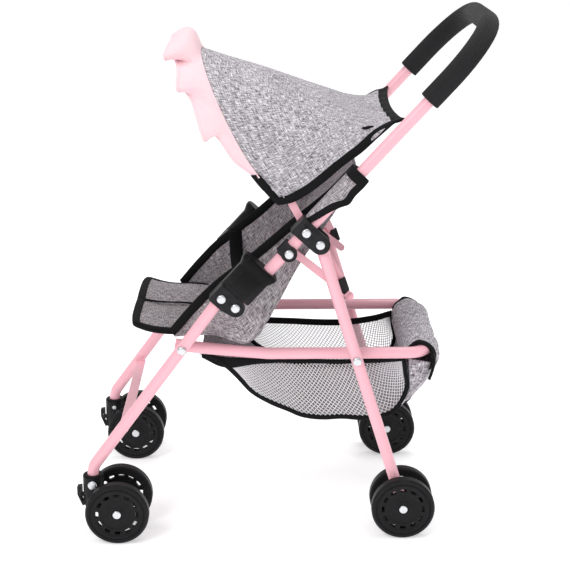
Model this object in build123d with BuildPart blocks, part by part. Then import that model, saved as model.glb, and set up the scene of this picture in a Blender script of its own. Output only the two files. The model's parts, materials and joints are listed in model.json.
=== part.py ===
from build123d import *
import os
from math import cos, hypot, radians, sin, tan

os.makedirs("parts", exist_ok=True)

# Doll stroller. +Z up, -Y the direction of travel, +X the pusher's left, symmetric about X = 0.
# Side profiles are drawn in a plane whose origin stands on the ground, `ahead` from the middle
# of the object, with y towards the handle and z up.

# ---- driving dimensions, mm -------------------------------------------------
ahead = -3.58               # shifts the side profile so that the object's box is centred on Y = 0
leg_x = 112.0               # middle plane of each side's leg and handle tubes
bar_x = 87.0                # middle plane of each side of the basket bar
tube_r = 6.25               # legs, handle and basket bar
tube_bore = 5.25
gap = 0.35                  # clearance between bodies that move past each other
pin_r = 2.5                 # rivet shanks
pin_hole = 2.56
head_r = 4.9                # rivet heads
head_h = 2.6
cheek = 2.5                 # bracket cheeks beside the tubes
cheek_out = tube_r + gap + cheek

leg_angle = 53.5            # front leg above the horizontal
handle_angle = 47.4         # handle above the horizontal
bow_angle = 118.5           # canopy bow above the horizontal

fold_y, fold_z = -46.0, 257.5          # handle pivot on the lower bracket
front_y, front_z = -102.7, 210.2       # basket bar pivot on the front leg
leg_top = 71.2                         # from that pivot to the leg's top rivet
knee_y, knee_z = 41.6, 324.6           # rear leg pivot on the upper bracket
rear_y, rear_z = 80.9, 197.3           # rear leg rivet by the basket bar
clamp_h, clamp_n = 79.9, -2.0          # link clamp rivet, along and across the handle
bow_h = 108.3                          # upper bracket's rivet, along the handle
handle_run = 386.0                     # handle pivot to the middle of the crossbar
handle_bend = 69.0
bar_z = 196.0
bar_rear_y = 160.0

socket_y = -201.5
front_axle_y = -174.4
rear_axle_y = 131.6
wheel_r = 34.0
wheel_w = 13.0
front_spread = 24.0         # wheel middle from the leg plane
rear_spread = 15.0
axle_r = 3.0
axle_bore = 3.06

seat_x = 92.0               # half width of the seat
canopy_x = 105.2            # half width of the canopy

# ---- reference planes -------------------------------------------------------
side = Plane(origin=(0, ahead, 0), x_dir=(0, 1, 0), z_dir=(1, 0, 0))
hc, hs = cos(radians(handle_angle)), sin(radians(handle_angle))
lc, ls = cos(radians(leg_angle)), sin(radians(leg_angle))
bc, bs = cos(radians(bow_angle)), sin(radians(bow_angle))
# along the handle (local x) and square to it (local y, forward and up), from the handle pivot
handle_side = Plane(origin=(0, ahead + fold_y, fold_z), x_dir=(0, hc, hs), z_dir=(1, 0, 0))


def on_handle(h, n=0.0):
    """Side-plane point at h along the handle and n square to it."""
    return (fold_y + h * hc - n * hs, fold_z + h * hs + n * hc)


def handle_cross(h):
    """Plane square to the handle tube, h along it: local x is X, local y points back and down."""
    y, z = on_handle(h)
    return Plane(origin=(0, ahead + y, z), x_dir=(1, 0, 0), z_dir=(0, hc, hs))


bow_y, bow_z = on_handle(bow_h)
clamp_y, clamp_z = on_handle(clamp_h, clamp_n)
top_y, top_z = front_y + leg_top * lc, front_z + leg_top * ls
rear_lean = Vector(rear_axle_y - knee_y, wheel_r - knee_z).normalized()

# ---- front legs -------------------------------------------------------------
bend_z = front_z + (socket_y - front_y) * tan(radians(leg_angle))
leg_end_y, leg_end_z = front_y + (leg_top + 8.5) * lc, front_z + (leg_top + 8.5) * ls
with BuildPart() as front_leg_left:
    with BuildLine(side.offset(leg_x)) as leg_path:
        FilletPolyline((socket_y, 50), (socket_y, bend_z), (leg_end_y, leg_end_z), radius=22)
    with BuildSketch(Plane(origin=leg_path.line @ 0, z_dir=leg_path.line % 0)):
        Circle(tube_r)
        Circle(tube_bore, mode=Mode.SUBTRACT)
    sweep(path=leg_path.line)
    with BuildSketch(side.offset(leg_x - 10)):
        with Locations((top_y, top_z), (front_y, front_z), (socket_y, 60)):
            Circle(pin_hole)
    extrude(amount=20, mode=Mode.SUBTRACT)

with BuildPart() as front_leg_right:
    mirror(front_leg_left.part, about=Plane.YZ)

# flat strip across the front legs, with turned-down ears riveted to their inner sides
brace_y, brace_z = front_y - 113.5 * lc + 3.0, front_z - 113.5 * ls
with BuildPart() as front_brace:
    with BuildSketch(side.offset(-(leg_x - tube_r - 0.1))):
        with Locations((brace_y, brace_z)):
            RectangleRounded(11, 2, 0.9)
    extrude(amount=2 * (leg_x - tube_r - 0.1))
    with BuildSketch(side.offset(leg_x - tube_r - 2.1), side.offset(-(leg_x - tube_r - 0.1))):
        with Locations((brace_y - 1, brace_z)):
            RectangleRounded(11, 10, 3)
    extrude(amount=2)

# ---- lower bracket: leg top and handle pivot --------------------------------
riv_h = (top_y - fold_y) * hc + (top_z - fold_z) * hs
riv_n = -(top_y - fold_y) * hs + (top_z - fold_z) * hc
with BuildPart() as lower_bracket_left:
    with BuildSketch(handle_side.offset(leg_x - cheek_out)):
        Polygon((-12, 27.2), (9.6, 27.2), (9.6, 0), (-9.8, 0), (-12, 9), align=None)
        Circle(9.8)
    extrude(amount=2 * cheek_out)
    fillet(lower_bracket_left.edges().filter_by(Axis.X).sort_by(Axis.Z)[-2:], 2.0)
    with BuildSketch(handle_side.offset(leg_x - tube_r - gap)):
        Polygon((-30, 25.0), (30, 25.0), (30, -30), (-30, -30), align=None)
    extrude(amount=2 * (tube_r + gap), mode=Mode.SUBTRACT)
    with BuildSketch(handle_side.offset(leg_x - 15)):
        with Locations((0, 0), (riv_h, riv_n)):
            Circle(pin_hole)
    extrude(amount=30, mode=Mode.SUBTRACT)

with BuildPart() as lower_bracket_right:
    mirror(lower_bracket_left.part, about=Plane.YZ)

# ---- handle tube and grip ---------------------------------------------------
handle_plane = Plane(
    origin=(0, ahead + fold_y, fold_z), x_dir=(1, 0, 0), z_dir=(0, -hs, hc)
)
grip_start = 290.0
with BuildPart() as handle_tube:
    with BuildLine(handle_plane) as handle_path:
        FilletPolyline(
            (leg_x, -7), (leg_x, handle_run), (-leg_x, handle_run), (-leg_x, -7),
            radius=handle_bend,
        )
    with BuildSketch(Plane(origin=handle_path.line @ 0, z_dir=handle_path.line % 0)):
        Circle(tube_r)
        Circle(tube_bore, mode=Mode.SUBTRACT)
    sweep(path=handle_path.line)
    with BuildSketch(handle_side.offset(-leg_x - 10)):
        with Locations((0, 0), (bow_h, 0), (clamp_h, clamp_n)):
            Circle(pin_hole)
    extrude(amount=2 * leg_x + 20, mode=Mode.SUBTRACT)

grip_r = 11.0
with BuildPart() as handle_grip:
    with BuildLine(handle_plane) as grip_path:
        FilletPolyline(
            (leg_x, grip_start), (leg_x, handle_run), (-leg_x, handle_run), (-leg_x, grip_start),
            radius=handle_bend,
        )
    with BuildSketch(Plane(origin=grip_path.line @ 0, z_dir=grip_path.line % 0)):
        Circle(grip_r)
        Circle(tube_r + 0.02, mode=Mode.SUBTRACT)
    sweep(path=grip_path.line)

# ---- lock sleeve, a flared oblong slider on the handle tube ------------------
with BuildPart() as lock_sleeve_left:
    with BuildSketch(handle_cross(10.3)):
        with Locations((leg_x, -9.3)):
            RectangleRounded(20.6, 37, 8)
    extrude(amount=28)
    with BuildSketch(handle_cross(38.3)):
        with Locations((leg_x, -9.3)):
            RectangleRounded(20.6, 37, 8)
    with BuildSketch(handle_cross(46)):
        with Locations((leg_x, -9.3)):
            RectangleRounded(26, 43.5, 10)
    loft()
    with BuildSketch(handle_cross(46)):
        with Locations((leg_x, -9.3)):
            RectangleRounded(26, 43.5, 10)
    extrude(amount=5)
    fillet(lock_sleeve_left.faces().sort_by(Axis((0, 0, 0), (0, hc, hs)))[-1].edges(), 2.2)
    with BuildSketch(handle_cross(10.3)):
        with Locations((leg_x, -9.3)):
            RectangleRounded(16.2, 32, 5)
    extrude(amount=22, mode=Mode.SUBTRACT)
    with BuildSketch(handle_cross(0)):
        with Locations((leg_x, 0)):
            Circle(tube_r + gap)
    extrude(amount=60, mode=Mode.SUBTRACT)

with BuildPart() as lock_sleeve_right:
    mirror(lock_sleeve_left.part, about=Plane.YZ)

# ---- link clamp, upper bracket ----------------------------------------------
with BuildPart() as link_clamp_left:
    with BuildSketch(handle_side.offset(leg_x - cheek_out)):
        with Locations((clamp_h, clamp_n)):
            Circle(8.4)
        Polygon(
            (clamp_h - 7.0, clamp_n), (clamp_h + 7.6, clamp_n), (clamp_h + 7.6, 8.4),
            (clamp_h - 7.0, 8.4), align=None,
        )
    extrude(amount=2 * cheek_out)
    with BuildSketch(handle_cross(50)):
        with Locations((leg_x, 0)):
            Circle(tube_r + 0.02)
    extrude(amount=60, mode=Mode.SUBTRACT)
    with BuildSketch(handle_side.offset(leg_x - 15)):
        with Locations((clamp_h, clamp_n)):
            Circle(pin_hole)
    extrude(amount=30, mode=Mode.SUBTRACT)

with BuildPart() as link_clamp_right:
    mirror(link_clamp_left.part, about=Plane.YZ)

knee_h = (knee_y - fold_y) * hc + (knee_z - fold_z) * hs
knee_n = -(knee_y - fold_y) * hs + (knee_z - fold_z) * hc
with BuildPart() as upper_bracket_left:
    with BuildSketch(handle_side.offset(leg_x - cheek_out)):
        with Locations((knee_h, knee_n)):
            Circle(10.2)
        Polygon(
            (knee_h - 10.2, knee_n), (knee_h + 10.2, knee_n), (knee_h + 10.2, 12.6),
            (knee_h - 10.2, 12.6), align=None,
        )
    extrude(amount=2 * cheek_out)
    fillet(upper_bracket_left.edges().filter_by(Axis.X).sort_by(Axis.Z)[-1], 2.5)
    with BuildSketch(handle_side.offset(leg_x - tube_r - gap)):
        Polygon(
            (knee_h - 20, 0), (knee_h + 20, 0), (knee_h + 20, -40), (knee_h - 20, -40),
            align=None,
        )
    extrude(amount=2 * (tube_r + gap), mode=Mode.SUBTRACT)
    with BuildSketch(handle_cross(80)):
        with Locations((leg_x, 0)):
            Circle(tube_r + 0.02)
    extrude(amount=60, mode=Mode.SUBTRACT)
    with BuildSketch(handle_side.offset(leg_x - 15)):
        with Locations((bow_h, 0), (knee_h, knee_n)):
            Circle(pin_hole)
    extrude(amount=30, mode=Mode.SUBTRACT)

with BuildPart() as upper_bracket_right:
    mirror(upper_bracket_left.part, about=Plane.YZ)

# ---- rear legs --------------------------------------------------------------
knee_point = Vector(knee_y, knee_z) - rear_lean * 7
foot_point = Vector(rear_axle_y, wheel_r) + rear_lean * 8
with BuildPart() as rear_leg_left:
    with BuildLine(side.offset(leg_x)) as rear_path:
        Line((knee_point.X, knee_point.Y), (foot_point.X, foot_point.Y))
    with BuildSketch(Plane(origin=rear_path.line @ 0, z_dir=rear_path.line % 0)):
        Circle(tube_r)
        Circle(tube_bore, mode=Mode.SUBTRACT)
    sweep(path=rear_path.line)
    with BuildSketch(side.offset(leg_x - 10)):
        with Locations((knee_y, knee_z), (rear_y, rear_z)):
            Circle(pin_hole)
        with Locations((rear_axle_y, wheel_r)):
            Circle(axle_bore)
    extrude(amount=20, mode=Mode.SUBTRACT)

with BuildPart() as rear_leg_right:
    mirror(rear_leg_left.part, about=Plane.YZ)

# flat bar beside the top of the rear leg, pinned at the knee
stop_y, stop_z = 65.7, 275.6
guide_in, guide_out = 100.4, 102.6
guide = Plane(origin=(0, ahead + knee_y, knee_z), x_dir=(0, stop_y - knee_y, stop_z - knee_z),
              z_dir=(1, 0, 0))
guide_len = hypot(stop_y - knee_y, stop_z - knee_z)
with BuildPart() as guide_bar_left:
    with BuildSketch(guide.offset(guide_in)):
        with Locations((guide_len / 2 - 2, 0)):
            SlotOverall(guide_len + 8, 8.4)
        Circle(pin_hole, mode=Mode.SUBTRACT)
    extrude(amount=guide_out - guide_in)

with BuildPart() as guide_bar_right:
    mirror(guide_bar_left.part, about=Plane.YZ)

# five-sided plastic stop on the bar's lower end, against the leg
with BuildPart() as guide_stop_left:
    with BuildSketch(side.offset(guide_in - 1.0)):
        Polygon(
            (stop_y - 4.3, stop_z + 7.6), (stop_y + 2.6, stop_z + 9.6),
            (stop_y + 7.0, stop_z - 3.4), (stop_y + 1.8, stop_z - 8.6),
            (stop_y - 6.9, stop_z - 3.2), align=None,
        )
    extrude(amount=leg_x - tube_r - 0.05 - guide_in + 1.0)
    fillet(guide_stop_left.edges().filter_by(Axis.X), 0.9)
    with BuildSketch(guide.offset(guide_in)):
        with Locations((guide_len / 2 - 2, 0)):
            SlotOverall(guide_len + 8, 8.4)
    extrude(amount=guide_out - guide_in, mode=Mode.SUBTRACT)

with BuildPart() as guide_stop_right:
    mirror(guide_stop_left.part, about=Plane.YZ)

# ---- link bar, pinned to the clamp -------------------------------------------
tip_y, tip_z = 74.6, 262.4
link_in, link_out = 95.8, 98.2
link = Plane(origin=(0, ahead + clamp_y, clamp_z), x_dir=(0, tip_y - clamp_y, tip_z - clamp_z),
             z_dir=(1, 0, 0))
link_len = hypot(tip_y - clamp_y, tip_z - clamp_z)
with BuildPart() as link_bar_left:
    with BuildSketch(link.offset(link_in)):
        with Locations((link_len / 2 - 1, 0)):
            SlotOverall(link_len + 8, 8.0)
        Circle(pin_hole, mode=Mode.SUBTRACT)
    extrude(amount=link_out - link_in)
    with BuildSketch(link.offset(link_in)):
        with Locations((link_len - 1.2, 0)):
            RectangleRounded(2.4, 7, 1.0)
    extrude(amount=3.4)

with BuildPart() as link_bar_right:
    mirror(link_bar_left.part, about=Plane.YZ)

# ---- basket bar --------------------------------------------------------------
front_bar_x = leg_x - tube_r - gap - tube_r
with BuildPart() as basket_bar:
    with BuildLine() as bar_path:
        FilletPolyline(
            (front_bar_x, ahead + front_y - 8, front_z + 1.0),
            (front_bar_x, ahead + front_y + 12, front_z - 2.4),
            (bar_x, ahead + front_y + 44, bar_z + 4.2),
            (bar_x, ahead - 12, bar_z),
            (bar_x, ahead + bar_rear_y, bar_z),
            (-bar_x, ahead + bar_rear_y, bar_z),
            (-bar_x, ahead - 12, bar_z),
            (-bar_x, ahead + front_y + 44, bar_z + 4.2),
            (-front_bar_x, ahead + front_y + 12, front_z - 2.4),
            (-front_bar_x, ahead + front_y - 8, front_z + 1.0),
            radius=(15, 15, 40, 24, 24, 40, 15, 15),
        )
    with BuildSketch(Plane(origin=bar_path.line @ 0, z_dir=bar_path.line % 0)):
        Circle(tube_r)
        Circle(tube_bore, mode=Mode.SUBTRACT)
    sweep(path=bar_path.line)
    with BuildSketch(side.offset(-leg_x)):
        with Locations((front_y, front_z)):
            Circle(pin_hole)
    extrude(amount=2 * leg_x, mode=Mode.SUBTRACT)

# wire hook hung from the front of the bar's inner side
with BuildPart() as bar_hook_left:
    with BuildLine(side.offset(bar_x - tube_r - 1.1)) as hook_path:
        FilletPolyline((-70, bar_z + 9), (-84, bar_z + 9), (-90, bar_z + 2), (-84, bar_z - 4),
                       (-72, bar_z - 3), radius=3.4)
    with BuildSketch(Plane(origin=hook_path.line @ 0, z_dir=hook_path.line % 0)):
        Circle(0.9)
    sweep(path=hook_path.line)

with BuildPart() as bar_hook_right:
    mirror(bar_hook_left.part, about=Plane.YZ)

# ---- rivets and pins ----------------------------------------------------------


def rivet(y, z, x_in, x_out, height=head_h, inner_head=True):
    """Pin along X on the left side, from x_in to x_out, with a domed head outside."""
    with BuildPart() as piece:
        with BuildSketch(Plane(origin=(x_in, ahead + y, z), z_dir=(1, 0, 0))):
            Circle(pin_r)
        extrude(amount=x_out - x_in)
        with BuildSketch(Plane(origin=(x_out, ahead + y, z), z_dir=(1, 0, 0))):
            Circle(head_r)
        extrude(amount=height)
        fillet(piece.faces().sort_by(Axis.X)[-1].edges(), height * 0.8)
        if inner_head:
            with BuildSketch(Plane(origin=(x_in, ahead + y, z), z_dir=(-1, 0, 0))):
                Circle(head_r - 0.6)
            extrude(amount=1.2)
    return piece.part


outer = leg_x + cheek_out + 0.02
inner = leg_x - cheek_out - 0.02
top_rivet = rivet(top_y, top_z, inner, outer)
fold_rivet = rivet(fold_y, fold_z, inner, outer)
with BuildPart() as leg_rivets:
    add(top_rivet)
    add(fold_rivet)
    mirror(leg_rivets.part, about=Plane.YZ)

basket_rivet = rivet(front_y, front_z, front_bar_x - tube_r - 0.3, leg_x + tube_r)
with BuildPart() as basket_pins:
    add(basket_rivet)
    mirror(basket_pins.part, about=Plane.YZ)

bow_rivet = rivet(bow_y, bow_z, 99.2, outer)
knee_rivet = rivet(knee_y, knee_z, guide_in - 0.4, outer)
clamp_rivet = rivet(clamp_y, clamp_z, link_in - 0.3, outer)
with BuildPart() as handle_rivets:
    add(bow_rivet)
    add(knee_rivet)
    add(clamp_rivet)
    mirror(handle_rivets.part, about=Plane.YZ)

# rear leg rivet with the distance bush that faces the basket bar
rear_rivet = rivet(rear_y, rear_z, leg_x - tube_r - 1, leg_x + tube_r, inner_head=False)
with BuildPart() as rear_pins:
    add(rear_rivet)
    with BuildSketch(Plane(origin=(bar_x + tube_r + 0.6, ahead + rear_y, rear_z), z_dir=(1, 0, 0))):
        Circle(4.6)
    extrude(amount=leg_x - tube_r - bar_x - tube_r - 0.65)
    mirror(rear_pins.part, about=Plane.YZ)

# ---- front wheel sockets and swivel forks -----------------------------------------
cup_bottom = 47.0
cup_top = 69.0
with BuildPart() as wheel_socket_left:
    with BuildSketch(Plane(origin=(leg_x, ahead + socket_y, cup_bottom))):
        Circle(11.2)
    extrude(amount=cup_top - cup_bottom)
    fillet(wheel_socket_left.faces().sort_by(Axis.Z)[-1].edges(), 2.0)
    with BuildSketch(Plane(origin=(leg_x, ahead + socket_y, 50))):
        Circle(tube_r + 0.03)
    extrude(amount=40, mode=Mode.SUBTRACT)
    with BuildSketch(Plane(origin=(leg_x, ahead + socket_y, 40))):
        Circle(3.08)
    extrude(amount=20, mode=Mode.SUBTRACT)
    with BuildSketch(side.offset(leg_x - 15)):
        with Locations((socket_y, 60)):
            Circle(pin_hole)
    extrude(amount=30, mode=Mode.SUBTRACT)

with BuildPart() as wheel_socket_right:
    mirror(wheel_socket_left.part, about=Plane.YZ)

socket_rivet = rivet(socket_y, 60, leg_x - 10.6, leg_x + 11.25, height=2.0, inner_head=False)
with BuildPart() as socket_rivets:
    add(socket_rivet)
    mirror(socket_rivets.part, about=Plane.YZ)

with BuildPart() as wheel_fork_left:
    with BuildSketch(Plane(origin=(leg_x, ahead + socket_y, 33.0))):
        Circle(10.4)
    extrude(amount=cup_bottom - 0.4 - 33.0)
    with BuildSketch(side.offset(leg_x - 7.5)):
        with BuildLine():
            Polyline((socket_y, 33), (socket_y + 8, 26), (front_axle_y, 26), (front_axle_y, 42),
                     (socket_y + 9, cup_bottom - 0.8), (socket_y, cup_bottom - 0.8), close=True)
        make_face()
        with Locations((front_axle_y, wheel_r)):
            Circle(8.0)
    extrude(amount=15)
    with BuildSketch(side.offset(leg_x - front_spread + wheel_w / 2 + 0.4)):
        with Locations((front_axle_y, wheel_r)):
            Circle(5.2)
    extrude(amount=2 * (front_spread - wheel_w / 2 - 0.4))
    with BuildSketch(side.offset(leg_x - front_spread)):
        with Locations((front_axle_y, wheel_r)):
            Circle(axle_r + 0.02)
    extrude(amount=2 * front_spread, mode=Mode.SUBTRACT)
    # swivel pin that turns in the socket
    with BuildSketch(Plane(origin=(leg_x, ahead + socket_y, cup_bottom - 0.5))):
        Circle(3.0)
    extrude(amount=3.2)

with BuildPart() as wheel_fork_right:
    mirror(wheel_fork_left.part, about=Plane.YZ)

# clip on the front of the fork, with a see-through window
with BuildPart() as fork_clip_left:
    with BuildSketch(side.offset(leg_x - 4)):
        with BuildLine():
            Polyline((socket_y - 9.9, 34), (socket_y - 12.5, 33), (socket_y - 17.6, 46),
                     (socket_y - 17.6, 54.6), (socket_y - 12.6, 55.4), (socket_y - 12.6, 46.0),
                     (socket_y - 9.9, 45.8), close=True)
        make_face()
        with BuildLine():
            Polyline((socket_y - 12.2, 37.8), (socket_y - 15.2, 45.2), (socket_y - 15.2, 49.4),
                     (socket_y - 14.1, 49.4), (socket_y - 14.1, 44.4), (socket_y - 11.2, 43.6),
                     (socket_y - 11.2, 37.8), close=True)
        make_face(mode=Mode.SUBTRACT)
    extrude(amount=8)
    with BuildSketch(Plane(origin=(leg_x, ahead + socket_y, 20))):
        Circle(10.42)
    extrude(amount=40, mode=Mode.SUBTRACT)

with BuildPart() as fork_clip_right:
    mirror(fork_clip_left.part, about=Plane.YZ)

# ---- wheels ------------------------------------------------------------------------
slot_count = 12
slot_ring = 21.4


def wheel_solid(x_mid, y_mid, face):
    """Revolved wheel with its slots and its bore."""
    hub_out = wheel_w / 2
    with BuildPart() as piece:
        with BuildSketch(Plane.XZ):
            with BuildLine():
                Polyline(
                    (0, -hub_out), (6.6, -hub_out), (6.6, 1.6), (25.4, 1.6), (25.4, -hub_out + 0.4),
                    (32.6, -hub_out + 0.4), (34, -hub_out + 2.2), (34, hub_out - 2.2),
                    (32.4, hub_out), (29.6, hub_out), (29.2, hub_out - 0.9), (28.2, hub_out - 0.9),
                    (27.8, hub_out - 0.2), (25.6, hub_out - 0.2), (23.6, hub_out - 1.1),
                    (18.4, hub_out - 1.1), (16.0, hub_out - 2.2), (9.6, hub_out - 1.6),
                    (7.4, hub_out - 0.4), (5.6, hub_out - 0.4), (5.2, hub_out - 2.0),
                    (0, hub_out - 2.0), close=True,
                )
            make_face()
        revolve(axis=Axis.Z)
        with BuildSketch(Plane.XY.offset(-hub_out)):
            with PolarLocations(slot_ring, slot_count):
                RectangleRounded(3.4, 6.6, 1.0)
            Circle(axle_bore)
        extrude(amount=wheel_w, mode=Mode.SUBTRACT)
    seat = Plane(origin=(x_mid, ahead + y_mid, wheel_r), x_dir=(0, face, 0), z_dir=(face, 0, 0))
    wheel = seat * piece.part
    with BuildPart() as placed:
        add(wheel)
    return placed


wheels = {}
for name, y_mid, spread in (("front", front_axle_y, front_spread), ("rear", rear_axle_y, rear_spread)):
    for place, sign in (("left", 1), ("right", -1)):
        wheels[f"{name}_wheel_{place}_outer"] = wheel_solid(sign * (leg_x + spread), y_mid, sign)
        wheels[f"{name}_wheel_{place}_inner"] = wheel_solid(sign * (leg_x - spread), y_mid, -sign)


def axle(y_mid, spread):
    """Axle pin with a cap on each end, left side."""
    reach = spread + wheel_w / 2
    with BuildPart() as piece:
        with BuildSketch(Plane(origin=(leg_x - reach, ahead + y_mid, wheel_r), z_dir=(1, 0, 0))):
            Circle(axle_r)
        extrude(amount=2 * reach)
        with BuildSketch(
            Plane(origin=(leg_x + reach - 1.6, ahead + y_mid, wheel_r), z_dir=(1, 0, 0)),
            Plane(origin=(leg_x - reach + 1.6, ahead + y_mid, wheel_r), z_dir=(-1, 0, 0)),
        ):
            Circle(4.6)
        extrude(amount=2.4)
        fillet(piece.faces().sort_by(Axis.X)[-1].edges(), 1.2)
        fillet(piece.faces().sort_by(Axis.X)[0].edges(), 1.2)
    return piece


front_axle_left = axle(front_axle_y, front_spread)
with BuildPart() as front_axle_right:
    mirror(front_axle_left.part, about=Plane.YZ)
rear_axle_left = axle(rear_axle_y, rear_spread)
with BuildPart() as rear_axle_right:
    mirror(rear_axle_left.part, about=Plane.YZ)

# ---- canopy ---------------------------------------------------------------------------
bow_plane = Plane(origin=(0, ahead + bow_y, bow_z), x_dir=(1, 0, 0), z_dir=(0, -bs, bc))
bow_half = 101.2
bow_rise = 80.0
with BuildPart() as canopy_bow:
    with BuildSketch(bow_plane.offset(-4)):
        with BuildLine():
            Line((bow_half + 1.2, 0), (bow_half + 1.2, bow_rise))
            ThreePointArc((bow_half + 1.2, bow_rise), (0, bow_rise + bow_half + 1.2),
                          (-bow_half - 1.2, bow_rise))
            Line((-bow_half - 1.2, bow_rise), (-bow_half - 1.2, 0))
            Line((-bow_half - 1.2, 0), (-bow_half + 1.2, 0))
            Line((-bow_half + 1.2, 0), (-bow_half + 1.2, bow_rise))
            ThreePointArc((-bow_half + 1.2, bow_rise), (0, bow_rise + bow_half - 1.2),
                          (bow_half - 1.2, bow_rise))
            Line((bow_half - 1.2, bow_rise), (bow_half - 1.2, 0))
            Line((bow_half - 1.2, 0), (bow_half + 1.2, 0))
        make_face()
    extrude(amount=8)
    with BuildSketch(side.offset(-bow_half - 1.2), side.offset(bow_half - 1.2)):
        with Locations((bow_y, bow_z)):
            Circle(5.4)
    extrude(amount=2.4)
    with BuildSketch(side.offset(-leg_x)):
        with Locations((bow_y, bow_z)):
            Circle(pin_hole)
    extrude(amount=2 * leg_x, mode=Mode.SUBTRACT)

# ribs of the hood: side-plane point of the lower edge, point of the crown, half width
ribs = (
    ((0.5, 362.0), (-83.0, 510.0), canopy_x),
    ((34.0, 386.0), (-34.0, 495.5), canopy_x),
    ((66.0, 408.0), (14.0, 482.0), canopy_x),
    ((98.0, 430.0), (66.0, 463.5), canopy_x),
    ((126.5, 449.5), (121.0, 456.5), canopy_x),
)


def rib_plane(low, crown):
    """Plane through a rib's lower edge and crown, with local y up the rib."""
    y_dir = Vector(0, crown[0] - low[0], crown[1] - low[1]).normalized()
    return Plane(origin=(0, ahead + low[0], low[1]), x_dir=(1, 0, 0),
                 z_dir=Vector(1, 0, 0).cross(y_dir))


def arch(half, rise, drop):
    """Outline of a half ellipse over upright sides."""
    with BuildLine() as outline:
        upright = max(0.0, rise - half)
        EllipticalCenterArc((0, upright), half, rise - upright, start_angle=0, arc_size=180)
        Polyline((-half, upright), (-half, -drop), (half, -drop), (half, upright))
    return outline.edges()


thick = 2.2
with BuildPart() as canopy_hood:
    for low, crown, half in ribs:
        rise = hypot(crown[0] - low[0], crown[1] - low[1])
        with BuildSketch(rib_plane(low, crown)):
            make_face(arch(half, rise, 0.01))
    loft(ruled=True)
    for low, crown, half in ribs:
        rise = hypot(crown[0] - low[0], crown[1] - low[1])
        with BuildSketch(rib_plane(low, crown)):
            make_face(arch(half - thick, rise - thick, 8.0))
    loft(ruled=True, mode=Mode.SUBTRACT)

# frill: a flared band in front of the hood's front edge
with BuildPart() as canopy_frill:
    frill_plane = rib_plane(*ribs[0][:2])
    frill_rise = hypot(ribs[0][1][0] - ribs[0][0][0], ribs[0][1][1] - ribs[0][0][1])
    with BuildSketch(frill_plane.offset(0.2)):
        make_face(arch(canopy_x + 0.8, frill_rise + 1.5, 0.01))
    with BuildSketch(frill_plane.offset(30)):
        make_face(arch(canopy_x + 7, frill_rise + 17, 0.01))
    loft(ruled=True)
    with BuildSketch(frill_plane.offset(-0.5)):
        make_face(arch(canopy_x - 2.2, frill_rise - 1.8, 30))
    with BuildSketch(frill_plane.offset(31)):
        make_face(arch(canopy_x + 4, frill_rise + 13.8, 30))
    loft(ruled=True, mode=Mode.SUBTRACT)

# ---- seat ------------------------------------------------------------------------------
with BuildPart() as seat_sling:
    with BuildSketch(side.offset(-seat_x + 3)):
        with BuildLine():
            Polyline((83.4, 392.3), (21.0, 296.7), (-18.0, 224.5), (-37.1, 209.5), (-69.0, 218.5),
                     (-112.0, 217.4), (-112.0, 223.6), (-68.0, 224.8), (-39.0, 216.4),
                     (-22.6, 229.0), (15.6, 299.8), (78.4, 395.6), close=True)
        make_face()
    extrude(amount=2 * (seat_x - 3))
    fillet(seat_sling.edges().filter_by(Axis.X), 1.2)

with BuildPart() as seat_panel_left:
    with BuildSketch(side.offset(seat_x - 3 + 0.05)):
        with BuildLine():
            Polyline((83.4, 392.3), (21.0, 296.7), (-18.0, 224.5), (-37.1, 209.5), (-69.0, 218.5),
                     (-112.0, 217.4), (-25.7, 299.6), (62.0, 395.0), (72.0, 402.0), close=True)
        make_face()
    extrude(amount=2.95)

with BuildPart() as seat_panel_right:
    mirror(seat_panel_left.part, about=Plane.YZ)

with BuildPart() as leg_rest:
    with BuildSketch(side.offset(-seat_x + 3)):
        with BuildLine():
            Polyline((-112.2, 217.0), (-121.0, 214.6), (-138.0, 218.1), (-154.6, 226.2),
                     (-152.4, 230.0), (-137.0, 225.6), (-121.0, 222.6), (-112.2, 224.2), close=True)
        make_face()
    extrude(amount=2 * (seat_x - 3))
    fillet(leg_rest.edges().filter_by(Axis.X), 0.8)

# loops that tie the top of the seat back round the handle tubes
with BuildPart() as seat_loops:
    with BuildSketch(handle_cross(165)):
        with Locations((leg_x, 0), (-leg_x, 0)):
            Circle(tube_r + 1.9)
            Circle(tube_r + 0.05, mode=Mode.SUBTRACT)
    extrude(amount=22)

# lap strap from side to side, crotch strap and buckle
strap = 1.6
lap_y = -32.6
with BuildPart() as harness:
    with BuildSketch(Plane(origin=(0, ahead + lap_y + strap / 2, 0), x_dir=(1, 0, 0),
                           z_dir=(0, -1, 0))):
        with BuildLine():
            Polyline((13.0, 237.2), (58.0, 248.0), (86.0, 279.5), (86.0, 297.0), (52.0, 261.5),
                     (13.0, 251.2), close=True)
        make_face()
        mirror(about=Plane.YZ)
    extrude(amount=strap)
    with BuildSketch(side.offset(-7)):
        with BuildLine():
            Polyline((-31.2, 233.2), (-39.4, 218.3), (-41.0, 218.9), (-32.9, 233.7), close=True)
        make_face()
    extrude(amount=14)

with BuildPart() as harness_buckle:
    with BuildSketch(side.offset(-13)):
        with Locations((lap_y, 244.2)):
            RectangleRounded(6.0, 20, 2)
    extrude(amount=26)

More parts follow.
